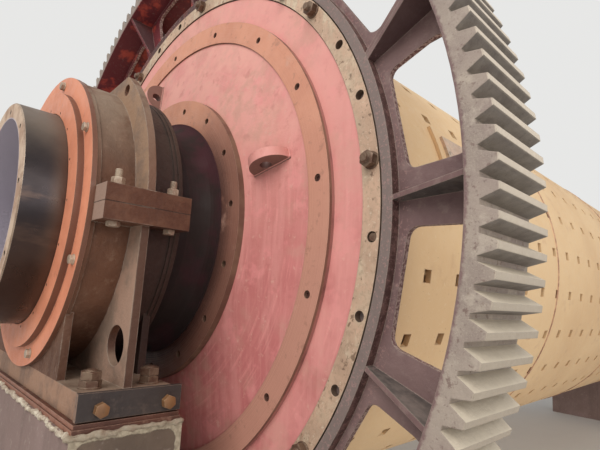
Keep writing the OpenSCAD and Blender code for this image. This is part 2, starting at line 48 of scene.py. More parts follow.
# Sizes in metres, the same as in the part's source
AXIS_H = 1.85
SHELL_LEN = 7.0
END_X = SHELL_LEN / 2
SHELL_R = 1.123
SHELL_T = 0.023
FLANGE_T = 0.040
FLANGE_PITCH_R = 1.175
RING_FACE = 0.066
BAND_FACE = 0.084
BAND_HOLE_AT = 0.96978
NECK_FACE = 0.150
NECK_HOLE_AT = 0.581
COVER_HOLE_R = 0.013
LUG_AT = 0.774
LUG_R = 0.083
LUG_T = 0.036
LUG_BASE = 0.1016
LUG_HOLE_R = 0.022
LUG_HOLE_UP = 0.030
CONE_SLOPE = 0.167
BORE_R = 0.345
BEARING_OFF = 0.490
BARREL_LEN = 0.280
BEARING_RIB_T = 0.030
SEAL_FLANGE_T = 0.016
SEAL_HOLE_AT = 0.5195
INNER_SEAL_U = 0.3505
SPLIT_T = 0.055
STUD_X = 0.092
STUD_Y = 0.596
FOOT_TOP = 0.541
ANCHOR_X = 0.090
ANCHOR_Y = 0.569
STOP_FACE_Y = 0.660
STOP_BOLT_X = 0.100
STOP_BOLT_SHIFT = 0.012
STOP_BOLT_Z = 0.582
SOLE_Z = 0.641
PIER_X = 0.164
PIER_Y = 0.670
PIER_TOP = AXIS_H - SOLE_Z
COLLAR_OUT_R = 1.240
WEB_T = 0.042
WEB_PLATE_T = 0.018
RIM_IN_R = 1.500
RIM_R = 1.528
TIP_R = 1.580
JOINT_T = 0.014
JOINT_ANGLE = 24.6
JOINT_SHARES = (0.28, 0.5, 0.72)
JOINT_BOLT_Z = 0.043
# Angles of the first bolt, screw and lug, as they stopped, in degrees above the horizontal
FLANGE_TURN = 8.1
COVER_TURN = 8.3
LUG_TURN = 17.0
MANHOLE_ANGLE = 16.0
MANHOLE_MID = -2.78
# Screws of a seal cover, measured from the top towards its own left
SEAL_SCREWS = (12.0, 60.0, 109.5, 161.0, 213.5, 266.5, 319.5)
ENDS = {"gear_end": 0.0, "feed_end": pi}


def placed(name, data):
    """A new object of the scene."""
    made = bpy.data.objects.new(name, data)
    scene.collection.objects.link(made)
    return made


# Camera of the photograph, solved from the drum's circles

LENS = 27.0
SENSOR = 36.0
CLIP = (0.05, 200.0)
CAMERA_AT = (-4.5989, -1.9596, 1.6025)
CAMERA_RIGHT = (0.71785, -0.69388, 0.0568)
CAMERA_UP = (-0.15038, -0.07489, 0.98579)
CAMERA_BACK = (-0.67976, -0.71619, -0.1581)


def add_camera():
    data = bpy.data.cameras.new("camera")
    data.lens = LENS
    data.sensor_width = SENSOR
    data.clip_start, data.clip_end = CLIP
    camera = placed("camera", data)
    axes = Matrix((CAMERA_RIGHT, CAMERA_UP, CAMERA_BACK)).transposed()
    camera.matrix_world = Matrix.Translation(CAMERA_AT) @ axes.to_4x4()
    scene.camera = camera


# Light and floor

FLOOR_COLOR = (0.78, 0.77, 0.75)
FLOOR_SHADE = 0.96
FLOOR_REACH = 60.0
BACKDROP_COLOR = (0.80, 0.80, 0.79)
AMBIENT_COLOR = (1.0, 0.985, 0.965)
AMBIENT = 0.42
LAMP_SIZE = 6.0
# Name, place, what it points at, power in watts and colour of each lamp
LAMPS = (
    ("key", (-10.0, -3.0, 7.0), (-3.8, 0.0, AXIS_H), 460.0, (1.0, 0.98, 0.95)),
    ("fill", (-3.0, -9.0, 5.0), (-1.0, 0.0, AXIS_H), 240.0, (1.0, 0.99, 0.98)),
)


def seen_ray(tree):
    """Factor that is one for camera, glossy and transmission rays."""
    path = tree.nodes.new("ShaderNodeLightPath")
    seen = path.outputs["Is Camera Ray"]
    for ray in ("Is Glossy Ray", "Is Transmission Ray"):
        most = tree.nodes.new("ShaderNodeMath")
        most.operation = "MAXIMUM"
        tree.links.new(seen, most.inputs[0])
        tree.links.new(path.outputs[ray], most.inputs[1])
        seen = most.outputs[0]
    return seen


def background(tree, color, strength):
    node = tree.nodes.new("ShaderNodeBackground")
    node.inputs["Color"].default_value = (*color, 1.0)
    node.inputs["Strength"].default_value = strength
    return node.outputs[0]


def add_world():
    """Soft light all round, and a pale backdrop where it is seen."""
    world = bpy.data.worlds.new("studio")
    scene.world = world
    world.use_nodes = True
    tree = world.node_tree
    tree.nodes.clear()
    out = tree.nodes.new("ShaderNodeOutputWorld")
    mix = tree.nodes.new("ShaderNodeMixShader")
    tree.links.new(seen_ray(tree), mix.inputs[0])
    tree.links.new(background(tree, AMBIENT_COLOR, AMBIENT), mix.inputs[1])
    tree.links.new(background(tree, BACKDROP_COLOR, 1.0), mix.inputs[2])
    tree.links.new(mix.outputs[0], out.inputs["Surface"])


def add_lights():
    for name, at, target, watts, color in LAMPS:
        data = bpy.data.lights.new(name, "AREA")
        data.shape = "SQUARE"
        data.size = LAMP_SIZE
        data.energy = watts
        data.color = color
        lamp = placed(name, data)
        lamp.location = at
        lamp.rotation_euler = (Vector(target) - Vector(at)).to_track_quat("-Z", "Y").to_euler()


# Materials

# Parts of a surface normal
ALONG, ACROSS, UPWARD = 0, 1, 2


class Look:
    """The node tree of one material, put together from small steps."""

    def __init__(self, name):
        self.material = bpy.data.materials.new(name)
        self.material.use_nodes = True
        self.tree = self.material.node_tree
        self.tree.nodes.clear()
        self.shader = self.add("ShaderNodeBsdfPrincipled")
        out = self.add("ShaderNodeOutputMaterial")
        self.tree.links.new(self.shader.outputs[0], out.inputs["Surface"])
        self.place = self.add("ShaderNodeTexCoord").outputs["Object"]
        self.x, self.y, self.z = self.add_linked("ShaderNodeSeparateXYZ", self.place).outputs

    def add(self, kind, **settings):
        node = self.tree.nodes.new(kind)
        for key, value in settings.items():
            setattr(node, key, value)
        return node

    def add_linked(self, kind, *values, **settings):
        node = self.add(kind, **settings)
        for socket, value in zip(node.inputs, values):
            self.plug(value, socket)
        return node

    def plug(self, value, socket):
        if isinstance(value, bpy.types.NodeSocket):
            self.tree.links.new(value, socket)
        elif socket.type == "RGBA":
            socket.default_value = (*value, 1.0)
        else:
            socket.default_value = value

    def calc(self, operation, *values):
        return self.add_linked("ShaderNodeMath", *values, operation=operation).outputs[0]

    def plus(self, first, second):
        return self.calc("ADD", first, second)

    def less(self, first, second):
        return self.calc("SUBTRACT", first, second)

    def both(self, first, second):
        """Product, which is where two masks overlap."""
        return self.calc("MULTIPLY", first, second)

    def size(self, value):
        """Value without its sign."""
        return self.calc("ABSOLUTE", value)

    def length(self, first, second):
        """Length of a line from its two parts."""
        return self.calc("SQRT", self.plus(self.both(first, first), self.both(second, second)))

    def spread(self, value, start, end, to_start=0.0, to_end=1.0):
        """Value from start to end made into a smooth 0 to 1, or another range."""
        node = self.add("ShaderNodeMapRange", interpolation_type="SMOOTHSTEP")
        for socket, given in zip(node.inputs, (value, start, end, to_start, to_end)):
            self.plug(given, socket)
        return node.outputs[0]

    def noisy(self, scale, detail, rough, **settings):
        node = self.add("ShaderNodeTexNoise", **settings)
        node.inputs["Scale"].default_value = scale
        node.inputs["Detail"].default_value = detail
        node.inputs["Roughness"].default_value = rough
        return node

    def cloud(self, scale, detail=3.0, rough=0.6, stretch=None):
        """Noise from 0 to 1, with scale waves to a metre."""
        node = self.noisy(scale, detail, rough)
        place = self.place
        if stretch:
            place = self.add_linked("ShaderNodeVectorMath", place, stretch, operation="MULTIPLY").outputs[0]
        self.plug(place, node.inputs["Vector"])
        return node.outputs["Fac"]

    def line_noise(self, value, scale):
        """Noise that changes along one value only, as turned rings do."""
        node = self.noisy(scale, 3.0, 0.7, noise_dimensions="1D")
        self.plug(value, node.inputs["W"])
        return node.outputs["Fac"]

    def spots(self, scale, start, end, stretch=None):
        """Patches where the noise is high."""
        return self.spread(self.cloud(scale, 4.0, 0.65, stretch), start, end)

    def wander(self, noisy, reach):
        """Noise made to swing about nought."""
        return self.both(self.less(noisy, 0.5), reach)

    def uneven(self, scale, least, most):
        """Number that drifts between two values, for roughness."""
        return self.spread(self.cloud(scale), 0.3, 0.7, least, most)

    def mix(self, factor, first, second):
        node = self.add("ShaderNodeMix", data_type="RGBA", blend_type="MIX")
        self.plug(factor, node.inputs[0])
        self.plug(first, node.inputs[6])
        self.plug(second, node.inputs[7])
        return node.outputs[2]

    def mottled(self, first, second, scale, detail=5.0, rough=0.65, start=0.36, end=0.64):
        """Two colours in soft clouds."""
        return self.mix(self.spread(self.cloud(scale, detail, rough), start, end), first, second)

    def over(self, color, mask, share, coat):
        """A colour with up to a share of a coat, where the mask is."""
        return self.mix(self.both(mask, share), color, coat)

    def spotted(self, color, coat, share, *spots):
        return self.over(color, self.spots(*spots), share, coat)

    def coat(self, mask, share, coat):
        self.color = self.over(self.color, mask, share, coat)

    def spot(self, coat, share, *spots):
        self.color = self.spotted(self.color, coat, share, *spots)

    def up(self):
        """Height above the mill's axis."""
        return self.less(self.z, AXIS_H)

    def radius(self):
        """Distance from the mill's axis."""
        return self.length(self.up(), self.y)

    def past_end(self, start, end):
        """Mask by the distance outwards from the nearer end face of the shell."""
        return self.spread(self.size(self.x), END_X + start, END_X + end)

    def facing(self):
        """Parts of the surface normal in the object's own space."""
        normal = self.add("ShaderNodeTexCoord").outputs["Normal"]
        return self.add_linked("ShaderNodeSeparateXYZ", normal).outputs

    def faces(self, way, start, end):
        """Mask of what faces one way or its opposite, or of the rest where end is the smaller."""
        return self.spread(self.size(self.facing()[way]), start, end)

    def round_way(self):
        """Part of the normal along the way round the axis. Its sign tells a tooth's two sides apart."""
        turn = self.facing()
        turning = self.less(self.both(turn[ACROSS], self.up()), self.both(turn[UPWARD], self.y))
        return self.calc("DIVIDE", turning, self.radius())

    def edges(self, width):
        """Mask of worn corners. Keeps the softened normal for the bump."""
        bevel = self.add("ShaderNodeBevel", samples=4)
        bevel.inputs["Radius"].default_value = width
        true = self.add("ShaderNodeNewGeometry").outputs["Normal"]
        dot = self.add_linked("ShaderNodeVectorMath", bevel.outputs[0], true, operation="DOT_PRODUCT")
        self.soft_normal = bevel.outputs[0]
        return self.spread(dot.outputs["Value"], 0.99, 0.86)

    def relief(self, height, depth):
        bump = self.add("ShaderNodeBump")
        bump.inputs["Strength"].default_value = 1.0
        bump.inputs["Distance"].default_value = depth
        self.plug(height, bump.inputs["Height"])
        if hasattr(self, "soft_normal"):
            self.plug(self.soft_normal, bump.inputs["Normal"])
        self.plug(bump.outputs[0], self.shader.inputs["Normal"])

    def finish(self, roughness, metallic=0.0, specular=0.5):
        self.plug(self.color, self.shader.inputs["Base Color"])
        self.plug(roughness, self.shader.inputs["Roughness"])
        self.plug(metallic, self.shader.inputs["Metallic"])
        self.shader.inputs["Specular IOR Level"].default_value = specular
        return self.material


# Radii between which a cover's step down and its outer zone begin
COVER_STEP_R = (0.9, 0.92)
COVER_OUTER_R = (1.0, 1.03)


def cover_look():
    """Pink primer brushed over a casting, creamy towards the top and redder low down, partly painted light.
    """
    look = Look("cover_paint")
    worn = look.edges(0.004)
    radius = look.radius()
    # Paler and creamier up high, redder low down: partly the primer's own tone, partly painted light
    lift = look.plus(look.up(), look.both(look.y, 0.3))
    lift = look.plus(lift, look.wander(look.cloud(1.6, 4.0, 0.6), 1.6))
    look.color = look.mix(look.spread(lift, -0.85, 0.75), (0.57, 0.172, 0.165), (0.85, 0.415, 0.345))
    look.spot((0.7, 0.245, 0.23), 0.55, 5.0, 0.46, 0.66)
    streak = look.spread(look.cloud(1.0, 4.0, 0.7, (26.0, 26.0, 2.2)), 0.42, 0.66)
    look.coat(streak, 0.4, (0.8, 0.37, 0.33))
    ringed = look.both(look.spread(look.line_noise(radius, 46.0), 0.48, 0.7), look.spots(7.0, 0.4, 0.64))
    look.coat(ringed, 0.45, (0.88, 0.36, 0.33))
    look.spot((0.5, 0.145, 0.13), 0.4, 16.0, 0.55, 0.72)
    look.spot((0.76, 0.47, 0.37), 0.45, 34.0, 0.6, 0.7)
    stain = look.both(look.spots(2.6, 0.46, 0.62), look.spots(13.0, 0.38, 0.6))
    look.coat(stain, 0.55, (0.6, 0.33, 0.25))
    look.spot((0.86, 0.32, 0.31), 0.45, 7.5, 0.54, 0.66)
    step = look.both(look.faces(ALONG, 0.55, 0.35), look.spread(radius, *COVER_STEP_R))
    look.coat(step, 0.85, (0.11, 0.055, 0.04))
    outer = look.both(look.spread(radius, *COVER_OUTER_R), look.spots(3.0, 0.36, 0.56))
    look.coat(outer, 0.45, (0.93, 0.41, 0.37))
    # Lifting lugs get painted shade on one side and in their holes
    look.coat(look.spread(look.round_way(), -0.45, -0.75), 0.9, (0.17, 0.1, 0.075))
    down = look.less(radius, LUG_AT)
    out = look.less(look.size(look.x), END_X + LUG_BASE + LUG_HOLE_UP)
    hole = look.spread(look.length(down, out), LUG_HOLE_R + 0.0012, LUG_HOLE_R + 0.0004)
    look.coat(hole, 0.9, (0.085, 0.038, 0.03))
    look.coat(worn, 0.5, (0.46, 0.23, 0.17))
    grain = look.cloud(120.0, 4.0, 0.7)
    look.relief(look.plus(look.both(grain, 0.5), look.cloud(14.0, 4.0, 0.6)), 0.0016)
    return look.finish(look.spread(grain, 0.3, 0.7, 0.48, 0.68))


# Radii between which painted shade darkens a neck ring towards the neck
NECK_SHADE_R = (0.605, 0.53)


def ring_look(name, pale, dark, rubbed, shade_below, shade_span, ring_share):
    """Turned ring with concentric tool marks under thin primer, painted shade low down, and darker on its
    sides.
    """
    look = Look(name)
    worn = look.edges(0.003)
    radius = look.radius()
    turned = look.line_noise(radius, 420.0)
    look.color = look.mottled(pale, dark, 4.0)
    lift = look.plus(look.up(), look.both(look.y, 0.6))
    # Painted shade low down and, on a neck ring, towards the neck
    look.coat(look.spread(lift, *shade_span), 0.85, shade_below)
    shaded = look.both(look.spread(radius, *NECK_SHADE_R), look.spread(lift, 0.4, -0.15))
    look.coat(shaded, 0.85, (0.045, 0.014, 0.015))
    look.coat(look.spread(turned, 0.4, 0.7), ring_share, rubbed)
    look.spot((0.34, 0.16, 0.11), 0.45, 22.0, 0.58, 0.7)
    look.spot((0.7, 0.4, 0.3), 0.5, 7.0, 0.6, 0.72)
    side = look.mix(look.spots(5.0, 0.42, 0.6), (0.135, 0.068, 0.046), (0.21, 0.135, 0.085))
    look.coat(look.faces(ALONG, 0.75, 0.35), 0.85, side)
    look.coat(worn, 0.6, (0.5, 0.28, 0.2))
    look.relief(look.plus(turned, look.cloud(90.0, 3.0, 0.7)), 0.0008)
    return look.finish(look.uneven(30.0, 0.42, 0.62))


def machined_look():
    """Bare turned steel gone beige, with cream scratches and rust pits, dark on a clamp ring's sides."""
    look = Look("machined")
    worn = look.edges(0.003)
    turned = look.line_noise(look.radius(), 600.0)
    look.color = look.mottled((0.72, 0.48, 0.335), (0.53, 0.35, 0.245), 5.0, start=0.35, end=0.65)
    look.coat(look.spread(turned, 0.45, 0.72), 0.45, (0.74, 0.55, 0.4))
    smear = look.both(look.spots(3.2, 0.5, 0.6), look.spots(34.0, 0.42, 0.6, (1.0, 1.0, 0.18)))
    look.coat(smear, 0.75, (0.8, 0.68, 0.5))
    look.spot((0.6, 0.475, 0.335), 0.5, 9.0, 0.48, 0.62)
    look.spot((0.4, 0.27, 0.185), 0.4, 62.0, 0.5, 0.62)
    look.spot((0.86, 0.74, 0.57), 0.5, 80.0, 0.6, 0.68)
    look.spot((0.17, 0.1, 0.06), 0.75, 38.0, 0.6, 0.68)
    side = look.both(look.faces(ALONG, 0.75, 0.35), look.past_end(-0.06, -0.05))
    look.coat(side, 0.85, (0.1, 0.062, 0.045))
    look.coat(worn, 0.45, (0.6, 0.52, 0.4))
    look.relief(look.plus(turned, look.cloud(60.0, 4.0, 0.7)), 0.0009)
    return look.finish(look.uneven(24.0, 0.34, 0.58), 0.15)


def gear_web(look, radius, up, round_way):
    """Collar, web and ribs: mauve primer, wine-red overspray above."""
    web = look.mottled((0.255, 0.16, 0.15), (0.185, 0.108, 0.105), 3.0)
    web = look.spotted(web, (0.34, 0.245, 0.22), 0.45, 20.0, 0.52, 0.68)
    flecks = look.both(look.spots(1.6, 0.54, 0.66), look.spots(26.0, 0.4, 0.6))
    web = look.over(web, flecks, 0.5, (0.36, 0.085, 0.09))
    wine = look.both(look.spread(look.y, -0.45, 0.15), look.spread(up, 0.0, 0.5))
    red = look.mix(look.spots(7.0, 0.5, 0.62), (0.15, 0.014, 0.022), (0.5, 0.07, 0.045))
    web = look.over(web, wine, 0.9, red)
    # Flat sides of the ribs carry painted shade, dark greenish grey and redder higher up
    rib_shade = look.mix(look.spots(24.0, 0.45, 0.62), (0.075, 0.077, 0.069), (0.14, 0.13, 0.115))
    rib_shade = look.over(rib_shade, look.spread(up, 0.0, 0.4), 0.75, (0.095, 0.036, 0.04))
    web = look.over(web, look.spread(look.size(round_way), 0.6, 0.8), 0.85, rib_shade)
    # Grey paint on the collar, painted shade in spotty dark brown on its outer step
    collar = look.spread(radius, COLLAR_OUT_R + 0.002, COLLAR_OUT_R - 0.001)
    grey = look.mix(wine, (0.235, 0.185, 0.165), (0.055, 0.03, 0.026))
    web = look.over(web, look.both(collar, look.faces(ALONG, 0.5, 0.8)), 0.8, grey)
    step = look.spread(look.size(look.less(radius, COLLAR_OUT_R)), 0.003, 0.001)
    step_shade = look.mix(look.spots(40.0, 0.45, 0.6), (0.105, 0.05, 0.043), (0.22, 0.12, 0.105))
    web = look.over(web, look.both(step, look.faces(ALONG, 0.5, 0.2)), 0.85, step_shade)
    # Flame-cut edges of the windows, and the spatter beside them
    out = look.less(look.both(look.x, -1.0), END_X)
    half = WEB_PLATE_T / 2
    cut = look.spread(look.size(look.less(out, WEB_T / 2)), half + 0.0008, half - 0.0002)
    speckle = look.mix(look.spots(110.0, 0.46, 0.56), (0.2, 0.085, 0.08), (0.6, 0.42, 0.37))
    web = look.over(web, look.both(cut, look.faces(ALONG, 0.5, 0.2)), 0.9, speckle)
    near = look.spread(radius, COLLAR_OUT_R + 0.065, COLLAR_OUT_R + 0.01)
    web = look.over(web, look.both(near, look.spots(120.0, 0.55, 0.62)), 0.6, (0.42, 0.25, 0.23))
    dust = look.both(look.spread(look.facing()[UPWARD], 0.35, 0.95), look.spots(6.0, 0.35, 0.6))
    return look.over(web, dust, 0.5, (0.38, 0.3, 0.26))


def gear_rim(look, radius, up, round_way):
    """Rim and teeth: bare beige steel with tool marks and pits."""
    rim = look.mottled((0.43, 0.355, 0.295), (0.315, 0.25, 0.215), 4.5)
    tool = look.cloud(1.0, 3.0, 0.7, (3.0, 260.0, 260.0))
    rim = look.over(rim, look.spread(tool, 0.45, 0.68), 0.35, (0.54, 0.46, 0.36))
    rim = look.spotted(rim, (0.19, 0.12, 0.1), 0.75, 46.0, 0.6, 0.67)
    rim = look.spotted(rim, (0.3, 0.215, 0.2), 0.35, 2.4, 0.5, 0.64)
    rim = look.spotted(rim, (0.6, 0.515, 0.42), 0.45, 17.0, 0.5, 0.64)
    rim = look.spotted(rim, (0.17, 0.115, 0.105), 0.55, 90.0, 0.6, 0.68)
    rim = look.over(rim, look.spread(up, 0.1, 0.9), 0.65, (0.27, 0.21, 0.18))
    # Painted highlight: tips are paler high up, and so is the side of each tooth that faces up at the
    # photographed side
    tip = look.mix(look.spread(up, -0.4, 0.2), (0.5, 0.425, 0.33), (0.76, 0.66, 0.53))
    rim = look.over(rim, look.spread(radius, TIP_R - 0.005, TIP_R - 0.001), 0.8, tip)
    above = look.both(look.spread(round_way, 0.45, 0.75), look.spread(radius, RIM_R - 0.002, RIM_R + 0.01))
    return look.over(rim, above, 0.7, (0.8, 0.7, 0.54))


def gear_look():
    """Painted web, bare rim and teeth, painted shade on one side of each tooth."""
    look = Look("gear_paint")
    worn = look.edges(0.004)
    radius, up, round_way = look.radius(), look.up(), look.round_way()
    grain = look.cloud(60.0, 5.0, 0.7)
    web = gear_web(look, radius, up, round_way)
    rim = gear_rim(look, radius, up, round_way)
    rim_from = look.plus(radius, look.wander(grain, 0.03))
    look.color = look.mix(look.spread(rim_from, RIM_IN_R + 0.001, RIM_IN_R + 0.012), web, rim)
    # Painted shade on the side of each tooth that faces down at the photographed side
    flank_shade = look.mottled((0.105, 0.098, 0.095), (0.19, 0.18, 0.17), 30.0, 4.0, 0.7, 0.35, 0.65)
    under = look.both(look.spread(round_way, -0.45, -0.75), look.spread(radius, RIM_R - 0.012, RIM_R - 0.002))
    look.coat(under, 0.75, flank_shade)
    look.coat(worn, 0.5, (0.52, 0.44, 0.36))
    look.relief(look.plus(grain, look.cloud(16.0, 4.0, 0.6)), 0.0022)
    return look.finish(look.spread(grain, 0.3, 0.7, 0.5, 0.72), 0.08)


# Distance from the middle plane at which the blocks of the split begin
BLOCK_Y = 0.555


def casting_look():
    """Brown primer on rough castings, grey dust on what faces up, oil runs, paler ribs."""
    look = Look("casting")
    worn = look.edges(0.005)
    look.color = look.mottled((0.15, 0.064, 0.035), (0.096, 0.041, 0.023), 3.4, start=0.35, end=0.65)
    look.spot((0.2, 0.108, 0.07), 0.5, 1.0, 0.46, 0.66, (9.0, 9.0, 3.0))
    look.spot((0.24, 0.14, 0.092), 0.5, 30.0, 0.55, 0.7)
    # Painted shade darkens the half of barrel and cap that faces the drum
    above_foot = look.spread(look.z, AXIS_H - FOOT_TOP + 0.001, AXIS_H - FOOT_TOP + 0.004)
    drum_side_shade = look.both(look.past_end(BEARING_OFF - 0.013, BEARING_OFF - 0.016), above_foot)
    look.coat(drum_side_shade, 0.9, (0.034, 0.019, 0.016))
    # The middle rib: pinkish grey sides, brown edges
    ends = look.faces(ALONG, 0.5, 0.8)
    along = look.size(look.less(look.size(look.x), END_X + BEARING_OFF))
    rib = look.spread(along, BEARING_RIB_T / 2 + 0.0005, BEARING_RIB_T / 2 - 0.001)
    upper = look.spread(look.z, AXIS_H - 0.1, AXIS_H + 0.1)
    side = look.mix(upper, (0.41, 0.26, 0.19), (0.4, 0.255, 0.165))
    side = look.mix(look.spots(6.0, 0.42, 0.62), side, (0.27, 0.19, 0.142))
    look.coat(look.both(rib, ends), 0.9, side)
    brim = look.mix(upper, (0.098, 0.05, 0.034), (0.185, 0.1, 0.066))
    look.coat(look.both(rib, look.faces(ACROSS, 0.75, 0.95)), 0.85, brim)
    # The blocks of the split: red-brown, with paler ends as a painted highlight
    high = look.size(look.up())
    block = look.spread(high, SPLIT_T + 0.001, SPLIT_T - 0.001)
    block = look.both(block, look.spread(look.size(look.y), BLOCK_Y - 0.003, BLOCK_Y + 0.003))
    brown = look.mix(look.spots(12.0, 0.42, 0.64), (0.102, 0.037, 0.02), (0.146, 0.061, 0.034))
    brown = look.over(brown, ends, 0.75, (0.44, 0.3, 0.235))
    look.coat(block, 0.9, brown)
    # The foot's ends are paler
    foot = look.spread(look.z, AXIS_H - FOOT_TOP + 0.001, AXIS_H - FOOT_TOP - 0.001)
    pale = look.mix(look.spots(9.0, 0.4, 0.6), (0.4, 0.235, 0.155), (0.27, 0.165, 0.115))
    look.coat(look.both(foot, ends), 0.9, pale)
    # The seal covers that face the drum get painted shade, nearly black
    inner = look.past_end(INNER_SEAL_U, INNER_SEAL_U - 0.002)
    look.coat(inner, 0.9, (0.042, 0.021, 0.015))
    # Dust and rubbed corners, both less on the half with painted shade
    dusty = look.both(look.spread(look.facing()[UPWARD], 0.1, 0.85), look.spots(5.0, 0.3, 0.55))
    look.coat(dusty, look.spread(drum_side_shade, 0.0, 1.0, 0.75, 0.12), (0.32, 0.24, 0.175))
    rubbed = look.both(worn, look.spread(drum_side_shade, 1.0, 0.0, 0.15, 1.0))
    look.coat(rubbed, look.spots(9.0, 0.35, 0.6), (0.42, 0.34, 0.27))
    # The line where cap and lower housing meet
    look.coat(look.spread(high, 0.0022, 0.0012), 0.65, (0.03, 0.015, 0.01))
    grain = look.cloud(70.0, 5.0, 0.7)
    look.relief(look.plus(grain, look.both(look.cloud(12.0, 4.0, 0.6), 2.0)), 0.0026)
    return look.finish(look.spread(grain, 0.3, 0.7, 0.55, 0.78), 0.0, 0.35)


def seal_look():
    """Orange primer on turned seal covers, painted shade in dark brown on their sides."""
    look = Look("seal_paint")
    worn = look.edges(0.003)
    turned = look.line_noise(look.radius(), 500.0)
    look.color = look.mottled((0.84, 0.325, 0.185), (0.7, 0.25, 0.14), 5.0, rough=0.6)
    look.coat(look.spread(turned, 0.45, 0.7), 0.35, (0.82, 0.38, 0.25))
    look.spot((0.42, 0.15, 0.09), 0.4, 18.0, 0.6, 0.72)
    # Painted shade on the sides
    look.coat(look.faces(ALONG, 0.75, 0.35), 0.9, (0.105, 0.045, 0.026))
    look.coat(worn, 0.5, (0.8, 0.45, 0.3))
    look.relief(look.plus(look.both(turned, 0.4), look.cloud(80.0, 3.0, 0.7)), 0.0007)
    return look.finish(look.uneven(30.0, 0.42, 0.6))


def shell_look():
    """Cream primer on rolled plate, a little rust bleeding through."""
    look = Look("shell_primer")
    worn = look.edges(0.003)
    look.color = look.mottled((0.86, 0.6, 0.335), (0.78, 0.52, 0.28), 1.4, 4.0, 0.55)
    look.spot((0.58, 0.33, 0.18), 0.4, 6.0, 0.58, 0.74)
    look.spot((0.86, 0.66, 0.42), 0.4, 44.0, 0.6, 0.7)
    look.spot((0.36, 0.18, 0.1), 0.55, 90.0, 0.66, 0.72)
    look.coat(worn, 0.6, (0.38, 0.22, 0.14))
    look.relief(look.plus(look.cloud(90.0, 4.0, 0.7), look.cloud(7.0)), 0.001)
    return look.finish(look.uneven(26.0, 0.52, 0.7))


# Width of a pier's trowelled border, and the radius of its inner corners
BORDER = 0.02
BORDER_CORNER = 0.03


def pier_look():
    """Rendered concrete: pinkish ends, brown sides with a pale trowelled border."""
    look = Look("concrete")
    grain = look.cloud(55.0, 5.0, 0.7)
    ends = look.mottled((0.345, 0.245, 0.225), (0.265, 0.185, 0.165), 3.0, 5.0, 0.6, 0.35, 0.65)
    sides = look.mottled((0.185, 0.135, 0.1), (0.13, 0.095, 0.072), 4.0, 5.0, 0.6, 0.35, 0.65)
    side = look.faces(ACROSS, 0.4, 0.6)
    look.color = look.mix(side, ends, sides)
    look.spot((0.16, 0.115, 0.098), 0.35, 1.0, 0.48, 0.68, (10.0, 10.0, 1.4))
    look.spot((0.44, 0.37, 0.31), 0.4, 36.0, 0.57, 0.7)
    # Distance outside a rounded rectangle that leaves the border free
    margin = BORDER + BORDER_CORNER
    across = look.size(look.less(look.size(look.x), END_X + BEARING_OFF))
    across = look.calc("MAXIMUM", look.less(across, PIER_X - margin), 0.0)
    rise = look.size(look.less(look.z, PIER_TOP / 2))
    rise = look.calc("MAXIMUM", look.less(rise, PIER_TOP / 2 - margin), 0.0)
    away = look.plus(look.length(across, rise), look.wander(look.cloud(26.0, 4.0, 0.7), 0.022))
    plaster = look.both(look.spread(away, BORDER_CORNER - 0.002, BORDER_CORNER + 0.003), side)
    chalk = look.mix(look.spread(grain, 0.35, 0.65), (0.5, 0.43, 0.315), (0.33, 0.275, 0.2))
    look.color = look.mix(plaster, look.color, chalk)
    look.relief(look.plus(grain, look.both(plaster, 0.8)), 0.003)
    return look.finish(0.85, 0.0, 0.3)


def plate_look(name, base, dark, rubbed, ends, patchy, metallic):
    """Rolled plate with mill scale, rust, bright corners, and paler ends along the mill that are a painted
    highlight.
    """
    look = Look(name)
    worn = look.edges(0.003)
    look.color = look.mottled(base, dark, 6.0)
    # Painted highlight: paler ends along the mill
    look.coat(look.faces(ALONG, 0.6, 0.9), 0.85, ends)
    look.spot(rubbed, patchy, 28.0, 0.54, 0.68)
    look.spot(dark, 0.45, 1.0, 0.5, 0.66, (6.0, 30.0, 30.0))
    look.coat(worn, 0.85, rubbed)
    look.relief(look.plus(look.cloud(80.0, 4.0, 0.7), look.cloud(10.0)), 0.0012)
    return look.finish(look.uneven(22.0, 0.42, 0.66), metallic)


# Distances from the shell's end between which the neck begins and its wine-red spots end
NECK_U = (0.345, 0.3)
NECK_WINE_U = (0.33, 0.17)


